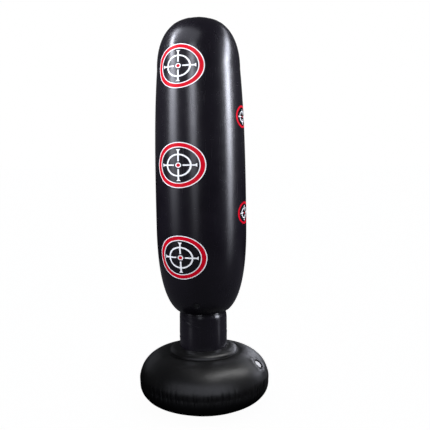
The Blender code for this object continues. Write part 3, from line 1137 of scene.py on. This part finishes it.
def tether(name, node, material, axes, bodies, *, inner, outer, low, high, thick, width):
    """A flat strip in the valve's XZ plane that loops outwards from low to high."""
    middle, half = (low + high) / 2, (high - low) / 2
    centre_x, bend = outer - half, half - thick / 2
    root_x, halfway_x = inner - 0.0004, inner + (centre_x - inner) * 0.5
    path = [(root_x, low + thick / 2), (halfway_x, low + thick / 2)]
    for k in range(17):
        angle = math.radians(-90 + 180 * k / 16)
        path.append((centre_x + bend * math.cos(angle), middle + bend * math.sin(angle)))
    path += [(halfway_x, high - thick / 2), (root_x, high - thick / 2)]

    section = []  # a rounded oblong across the strip
    for k in range(12):
        cos, sin = math.cos(2 * math.pi * k / 12), math.sin(2 * math.pi * k / 12)
        section.append(
            (
                math.copysign(abs(cos) ** 0.35, cos) * width / 2,
                math.copysign(abs(sin) ** 0.5, sin) * thick / 2,
            )
        )

    verts, faces = [], []
    last = len(path) - 1
    for i, (x, z) in enumerate(path):
        before, after = path[max(i - 1, 0)], path[min(i + 1, last)]
        tangent = Vector((after[0] - before[0], after[1] - before[1])).normalized()
        narrow = 1.0 - 0.28 * math.sin(math.pi * i / last)
        for y, height in section:
            verts.append((x + tangent.y * height, y * narrow, z - tangent.x * height))
    count = len(section)
    for i in range(last):
        ring, following = i * count, (i + 1) * count
        for k in range(count):
            j = (k + 1) % count
            faces.append((ring + k, ring + j, following + j, following + k))
    faces.append(tuple(range(count))[::-1])
    faces.append(tuple(last * count + k for k in range(count)))
    obj = new_object(name, verts, faces, material)
    recalculate_normals(obj)
    obj.data.transform(axes)

    out = axes.to_3x3().col[2]
    start = axes.translation + out * (low + thick)
    end = axes.translation + out * (high - thick)
    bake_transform(obj, *bodies, start=tuple(start), end=tuple(end))
    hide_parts(node)


# ------------------------------------------------------------------ the base's screw valve
# Valve profiles are (radius, height over the sheet) in mm.
WATER_CUP = [
    (22.3, 0.9), (22.3, -7.2), (30.0, -7.2), (30.0, -8.4), (22.2, -8.4), (22.2, -10.4),
    (15.2, -10.4), (15.2, -17.0), (12.6, -17.0), (12.6, -8.8), (21.0, -8.8), (21.0, 0.9),
]
WATER_WELD = [(25.6, 0.55), (26.6, -0.9), (22.0, -0.9), (22.0, 0.75)]
SEAL_R, SEAL_Z, SEAL_CORD_R = 14.1, -7.75, 0.9
WATER_INSERT = [
    (16.1, -4.7), (16.5, -5.1), (16.5, -6.3), (16.1, -6.7), (12.3, -6.7), (12.3, -17.6),
    (8.2, -17.6), (8.2, -4.7),
]
KNURLED_POINTS = 14  # this many points of the rounded insert profile are knurled
WATER_FLAP = [(0, -17.9), (10.0, -17.9), (10.0, -18.5), (3.4, -18.5), (3.2, -19.3), (0, -19.3)]
WATER_CAP = [
    (0.0, -2.5), (9.2, -2.45), (9.7, -2.9), (10.9, -2.9), (11.4, -2.1), (13.4, -1.95),
    (15.4, -2.05), (16.2, -2.7), (16.2, -3.8), (15.8, -4.4), (7.9, -4.4), (6.4, -8.6),
    (5.4, -8.6), (6.2, -4.6), (0.0, -4.6),
]


def seal_profile():
    angles = [math.radians(90 - 18 * k) for k in range(20)]
    return [(SEAL_R + SEAL_CORD_R * math.cos(a), SEAL_Z + SEAL_CORD_R * math.sin(a)) for a in angles]


def knurl(angle, index):
    """Thirty shallow grooves round the insert's rim."""
    grooved = index < KNURLED_POINTS and math.cos(angle * 30) > 0.35
    return 1.0 - (0.016 if grooved else 0.0)


# the cup wears the darker copy of the moulded plastic: painted shade in the recess round the valve
valve_part(
    "water_valve_cup", rounded(WATER_CUP, 0.5), MOULDED_SHADED, WATER,
    "base", "water_valve_seat", "moulded_pvc",
)
valve_part(
    "water_valve_weld_ring", rounded(WATER_WELD, 0.5), BASE_PVC, WATER, "base", None, "base_pvc"
)
valve_part(
    "water_valve_seal_ring", seal_profile(), SEAL, WATER,
    "water_valve_seal", "water_valve_seal", "seal_rubber",
)
valve_part(
    "water_valve_body", rounded(WATER_INSERT, 0.3, steps=3), MOULDED, WATER,
    "water_valve_insert", "water_valve_insert", "moulded_pvc", sides=180, shape=knurl,
)
valve_part(
    "water_valve_flap_disc", rounded(WATER_FLAP, 0.2, steps=2), FLAP, WATER,
    "water_valve_flap", "water_valve_flap", "flap_silicone", sides=72, closed=False,
)
valve_part(
    "water_valve_cap_moulding", rounded(WATER_CAP, 0.35, steps=3), CAP_PLASTIC, WATER,
    "water_valve_cap", "water_valve_cap", "valve_cap_plastic", closed=False,
    lug=dict(centre=(-0.0165, 0.0, -0.0031), size=(0.0042, 0.0062, 0.0011), bevel=0.0003),
)
tether(
    "water_valve_tether", "water_valve_strap", CAP_PLASTIC, WATER,
    ("water_valve_insert", "water_valve_cap"),
    inner=0.0164, outer=0.0198, low=-0.0061, high=-0.0026, thick=0.0009, width=0.0068,
)

# ------------------------------------------------------------------ the column's air valve
AIR_SEAT = [
    (13.9, -0.4), (12.4, -0.6), (12.4, -3.6), (19.5, -3.6), (19.5, -4.8), (12.3, -4.8),
    (12.3, -11.0), (11.2, -11.0), (11.2, 0.4), (11.7, 1.0), (12.8, 1.1), (13.9, 0.25),
]
AIR_STEM = [(10.9, -1.2), (10.9, -13.5), (6.0, -13.5), (6.0, -1.2)]
AIR_FLAP = [(0, -13.8), (7.6, -13.8), (7.6, -14.3), (2.4, -14.3), (2.2, -15.0), (0, -15.0)]
AIR_PLUG = [
    (0.0, 0.55), (4.6, 0.6), (5.0, 1.0), (6.6, 1.0), (8.2, 0.8), (8.8, 0.3), (8.8, -0.5),
    (8.5, -0.9), (5.6, -0.9), (4.2, -4.4), (3.2, -4.4), (4.2, -1.0), (0.0, -1.0),
]

valve_part(
    "air_valve_ring", rounded(AIR_SEAT, 0.35, steps=3), MOULDED, AIR,
    "column", "air_valve_seat", "moulded_pvc",
)
valve_part(
    "air_valve_tube", rounded(AIR_STEM, 0.4, steps=3), MOULDED, AIR,
    "air_valve_stem", "air_valve_stem", "moulded_pvc",
)
valve_part(
    "air_valve_flap_disc", rounded(AIR_FLAP, 0.18, steps=2), FLAP, AIR,
    "air_valve_flap", "air_valve_flap", "flap_silicone", sides=64, closed=False,
)
valve_part(
    "air_valve_cap_moulding", rounded(AIR_PLUG, 0.2, steps=2), MOULDED, AIR,
    "air_valve_plug", "air_valve_plug", "moulded_pvc", closed=False,
    lug=dict(centre=(-0.0088, 0.0, -0.0001), size=(0.0028, 0.0042, 0.0007), bevel=0.0002),
)
tether(
    "air_valve_tether", "air_valve_strap", MOULDED, AIR,
    ("air_valve_stem", "air_valve_plug"),
    inner=0.0088, outer=0.0104, low=-0.0009, high=0.0009, thick=0.0005, width=0.0042,
)

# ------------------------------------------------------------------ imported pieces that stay
for node, material in (("water_ballast", WATER_LOOK), ("neck_baffle", COLUMN_PVC)):
    materials = frame["nodes"][node].data.materials
    materials.clear()
    materials.append(material)


# ------------------------------------------------------------------ floor and world
def split_by_camera_ray(tree, unseen, seen, output):
    """The camera sees one shader, and all other rays meet the other."""
    path = tree.nodes.new("ShaderNodeLightPath")
    mix = tree.nodes.new("ShaderNodeMixShader")
    tree.links.new(path.outputs["Is Camera Ray"], mix.inputs[0])
    tree.links.new(unseen.outputs[0], mix.inputs[1])
    tree.links.new(seen.outputs[0], mix.inputs[2])
    tree.links.new(mix.outputs[0], tree.nodes[output].inputs["Surface"])


def floor_material():
    """White to the camera, nearly black to the bag."""
    material = bpy.data.materials.new("studio_floor")
    material.use_nodes = True
    tree = material.node_tree
    shader = tree.nodes["Principled BSDF"]
    shader.inputs["Base Color"].default_value = (0.50, 0.50, 0.50, 1)
    shader.inputs["Roughness"].default_value = 0.9
    shader.inputs["Specular IOR Level"].default_value = 0.1
    shader.inputs["Emission Color"].default_value = (1, 1, 1, 1)
    shader.inputs["Emission Strength"].default_value = 0.97
    dull = tree.nodes.new("ShaderNodeBsdfDiffuse")
    dull.inputs["Color"].default_value = (0.02, 0.02, 0.022, 1)
    split_by_camera_ray(tree, dull, shader, "Material Output")
    return material


def studio_floor(half, z):
    material = floor_material()
    mesh = bpy.data.meshes.new("studio_floor")
    corners = [(-half, -half, 0), (half, -half, 0), (half, half, 0), (-half, half, 0)]
    mesh.from_pydata(corners, [], [(0, 1, 2, 3)])
    floor = bpy.data.objects.new("studio_floor", mesh)
    mesh.materials.append(material)
    bpy.context.scene.collection.objects.link(floor)
    floor.location.z = z
    floor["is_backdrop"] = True


def studio_world():
    """White behind the bag, dim and cool as light on it."""
    world = bpy.data.worlds.new("studio")
    scene.world = world
    world.use_nodes = True
    tree = world.node_tree
    ambient = tree.nodes["Background"]
    ambient.inputs["Color"].default_value = (0.92, 0.94, 1.0, 1)
    ambient.inputs["Strength"].default_value = 0.056
    seen = tree.nodes.new("ShaderNodeBackground")
    seen.inputs["Color"].default_value = (1, 1, 1, 1)
    seen.inputs["Strength"].default_value = 1.0
    split_by_camera_ray(tree, ambient, seen, "World Output")


studio_floor(half=45.0, z=-0.0004)
scene = bpy.context.scene
studio_world()

# ------------------------------------------------------------------ lights
COOL = (0.87, 0.89, 1.0)
WHITE_LIGHT = (1, 1, 1)
BASE_BODIES = (
    "base", "water_valve_seal", "water_valve_insert", "water_valve_cap", "water_valve_flap",
)

# which pieces a lamp reaches
pieces = list(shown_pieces())
neck_reach = [o for o in pieces if o.name.startswith("neck_tube")]
base_reach = [o for o in pieces if body_of(o)[0] in BASE_BODIES and o not in neck_reach]
column_reach = [o for o in pieces if o not in base_reach]
print_reach = [o for o in pieces if "_target_" in o.name]


def stand(turn, distance, z):
    """A point at a distance from the bag's axis, its turn counted from the camera's."""
    angle = math.radians(VIEW_TURN + turn)
    return Vector((distance * math.sin(angle), -distance * math.cos(angle), z))


def soft_box(name, reach, width, height, power, colour):
    """A rectangular lamp that lights only the pieces in reach."""
    light = bpy.data.lights.new(name, "AREA")
    light.shape = "RECTANGLE"
    light.size, light.size_y = width, height
    light.energy = power
    light.color = colour
    obj = bpy.data.objects.new(name, light)
    scene.collection.objects.link(obj)
    group = bpy.data.collections.new(f"{name}_reach")
    for piece in reach:
        group.objects.link(piece)
    obj.light_linking.receiver_collection = group
    return obj


def panel(name, reach, *, turn, distance, z, width, height, power, aim_z, colour=WHITE_LIGHT):
    """A soft box that faces the bag's axis at aim_z."""
    obj = soft_box(name, reach, width, height, power, colour)
    obj.location = stand(turn, distance, z)
    aim = Vector((0, 0, aim_z)) - obj.location
    obj.rotation_euler = aim.to_track_quat("-Z", "Y").to_euler()


def fade(obj, stops):
    """Brightness along a lamp's height, from (share of the height, brightness) stops."""
    obj.data.use_nodes = True
    tree = obj.data.node_tree
    where = tree.nodes.new("ShaderNodeNewGeometry")
    split = tree.nodes.new("ShaderNodeSeparateXYZ")
    ramp = tree.nodes.new("ShaderNodeValToRGB")
    ramp.color_ramp.interpolation = "B_SPLINE"
    elements = ramp.color_ramp.elements
    while len(elements) < len(stops):
        elements.new(0.5)
    # all positions come before any colour, so that each colour meets its final place
    for element, (share, _) in zip(elements, stops):
        element.position = share
    for element, (_, bright) in zip(elements, stops):
        element.color = (bright, bright, bright, 1)
    tree.links.new(where.outputs["Parametric"], split.inputs[0])
    tree.links.new(split.outputs["Y"], ramp.inputs["Fac"])
    tree.links.new(ramp.outputs["Color"], tree.nodes["Emission"].inputs["Strength"])


def beam(name, reach, foot, head, width, radiance, stops, distance, aim_z, hidden):
    """A long cool soft box from foot to head, both (turn from the camera's, height).

    A hidden one stands in the camera's view but isn't seen by it.
    """
    low, high = (stand(turn, distance, z) for turn, z in (foot, head))
    middle, along = (low + high) / 2, high - low
    back = middle - Vector((0.0, 0.0, min(middle.z, aim_z)))
    length = along.length
    along.normalize()
    back = (back - along * back.dot(along)).normalized()
    obj = soft_box(name, reach, width, length, radiance * math.pi * width * length, COOL)
    facing = Matrix((along.cross(back), along, back)).transposed().to_4x4()
    obj.matrix_world = Matrix.Translation(middle) @ facing
    if stops:
        fade(obj, stops)
    if hidden:
        obj.visible_camera = False


# brightness stops: (share of the lamp's length, brightness)
RIGHT_STOPS = [
    (0.0, 0.01), (0.10, 0.03), (0.25, 0.09), (0.36, 0.19), (0.46, 0.33), (0.57, 0.52),
    (0.68, 0.74), (0.80, 1.0), (1.0, 1.0),
]
RIGHT_HIGH_STOPS = [(0.0, 1.0), (0.4, 0.9), (1.0, 0.6)]
RIGHT_CROWN_STOPS = [(0.0, 1.0), (0.4, 0.5), (1.0, 0.10)]
LEFT_STOPS = [(0.0, 0.02), (0.22, 0.05), (0.45, 0.30), (0.57, 0.46), (0.76, 0.92), (1.0, 1.0)]
LEFT_HIGH_STOPS = [(0.0, 0.4), (0.25, 1.0), (0.8, 1.0), (1.0, 0.8)]
LEFT_CROWN_STOPS = [(0.0, 1.0), (0.3, 1.0), (0.7, 0.9), (1.0, 0.3)]
LEFT_NEAR_STOPS = [
    (0.0, 0.02), (0.15, 0.06), (0.30, 0.24), (0.40, 0.50), (0.52, 0.95), (0.62, 1.0),
    (1.0, 0.6),
]
BASE_LOW_STOPS = [(0.0, 0.50), (0.45, 0.62), (0.75, 1.0), (1.0, 0.9)]

# beams: name, foot, head, width, radiance, stops
COLUMN_BEAMS = (
    ("right_strip", (72.0, 0.0), (80.0, 1.95), 0.50, 31.0, RIGHT_STOPS),
    ("right_high", (80.5, 1.9), (104.0, 2.85), 0.46, 28.0, RIGHT_HIGH_STOPS),
    ("right_crown", (104.0, 2.8), (140.0, 3.3), 0.42, 8.0, RIGHT_CROWN_STOPS),
    ("left_strip", (-64.0, 0.3), (-71.5, 2.0), 0.74, 11.5, LEFT_STOPS),
    ("left_high", (-73.0, 1.95), (-99.0, 3.45), 0.34, 36.0, LEFT_HIGH_STOPS),
    ("left_crown", (-101.0, 3.4), (-94.0, 4.9), 1.0, 9.0, LEFT_CROWN_STOPS),
    ("left_near_strip", (-14.5, 0.3), (-19.0, 2.9), 0.50, 12.0, LEFT_NEAR_STOPS),
)
NECK_BEAMS = (
    ("neck_right", (78.0, 0.06), (78.0, 0.24), 0.10, 1.7, None),
    ("neck_left", (-62.0, 0.06), (-62.0, 0.24), 0.24, 0.5, None),
)
BASE_BEAMS = (
    ("base_low", (-54.0, 0.42), (44.0, 0.42), 0.56, 2.05, BASE_LOW_STOPS),
    ("base_rim_left", (-118.0, 0.50), (-156.0, 0.75), 0.25, 0.6, None),
    ("base_rim", (104.0, 0.38), (160.0, 0.74), 0.30, 6.0, None),
)

for name, *shape in COLUMN_BEAMS:
    beam(name, column_reach, *shape, distance=2.2, aim_z=1.5, hidden=False)
panel(
    "ceiling_panel", column_reach, turn=-42.0, distance=1.5, z=3.6,
    width=2.7, height=1.6, power=21.0, aim_z=1.5, colour=COOL,
)
panel(
    "print_lamp", print_reach, turn=9.0, distance=2.2, z=2.9,
    width=1.4, height=1.2, power=40.0, aim_z=0.6,
)
# a lamp just over the floor that shines straight up
glow = soft_box("floor_glow", column_reach, width=5.0, height=5.0, power=6.5, colour=COOL)
glow.location = (0.0, 0.0, 0.006)
glow.rotation_euler = (math.pi, 0.0, 0.0)
glow.visible_camera = False
for name, *shape in NECK_BEAMS:
    beam(name, neck_reach, *shape, distance=0.8, aim_z=0.32, hidden=True)
panel(
    "base_key", base_reach, turn=49.0, distance=1.0, z=2.2,
    width=1.30, height=0.66, power=20.0, aim_z=0.1,
)
panel(
    "base_side", base_reach, turn=92.0, distance=1.6, z=1.9,
    width=0.5, height=0.9, power=16.5, aim_z=0.15,
)
for name, *shape in BASE_BEAMS:
    beam(name, base_reach, *shape, distance=1.6, aim_z=0.15, hidden=True)

# ------------------------------------------------------------------ camera
CAMERA_DISTANCE, CAMERA_Z = 2.6, 1.053
CAMERA_PITCH = 0.0975  # downwards, in radians
CAMERA_ROLL = math.radians(-1.05)

camera = bpy.data.cameras.new("camera")
camera.lens = 52.25
camera.sensor_width = 36.0
camera.clip_end = 200.0
camera.shift_x = 0.032093023
camera_object = bpy.data.objects.new("camera", camera)
scene.collection.objects.link(camera_object)
view = math.radians(VIEW_TURN)
level = math.cos(CAMERA_PITCH)
forward = Vector((-math.sin(view) * level, math.cos(view) * level, -math.sin(CAMERA_PITCH)))
right = forward.cross(Vector((0, 0, 1))).normalized()
up = right.cross(forward).normalized()
facing = Matrix((right, up, -forward)).transposed() @ Matrix.Rotation(CAMERA_ROLL, 3, "Z")
eye = stand(0.0, CAMERA_DISTANCE, CAMERA_Z)
camera_object.matrix_world = Matrix.Translation(eye) @ facing.to_4x4()
scene.camera = camera_object

scene.view_settings.view_transform = "Standard"
scene.view_settings.look = "None"
scene.view_settings.exposure = 0.0
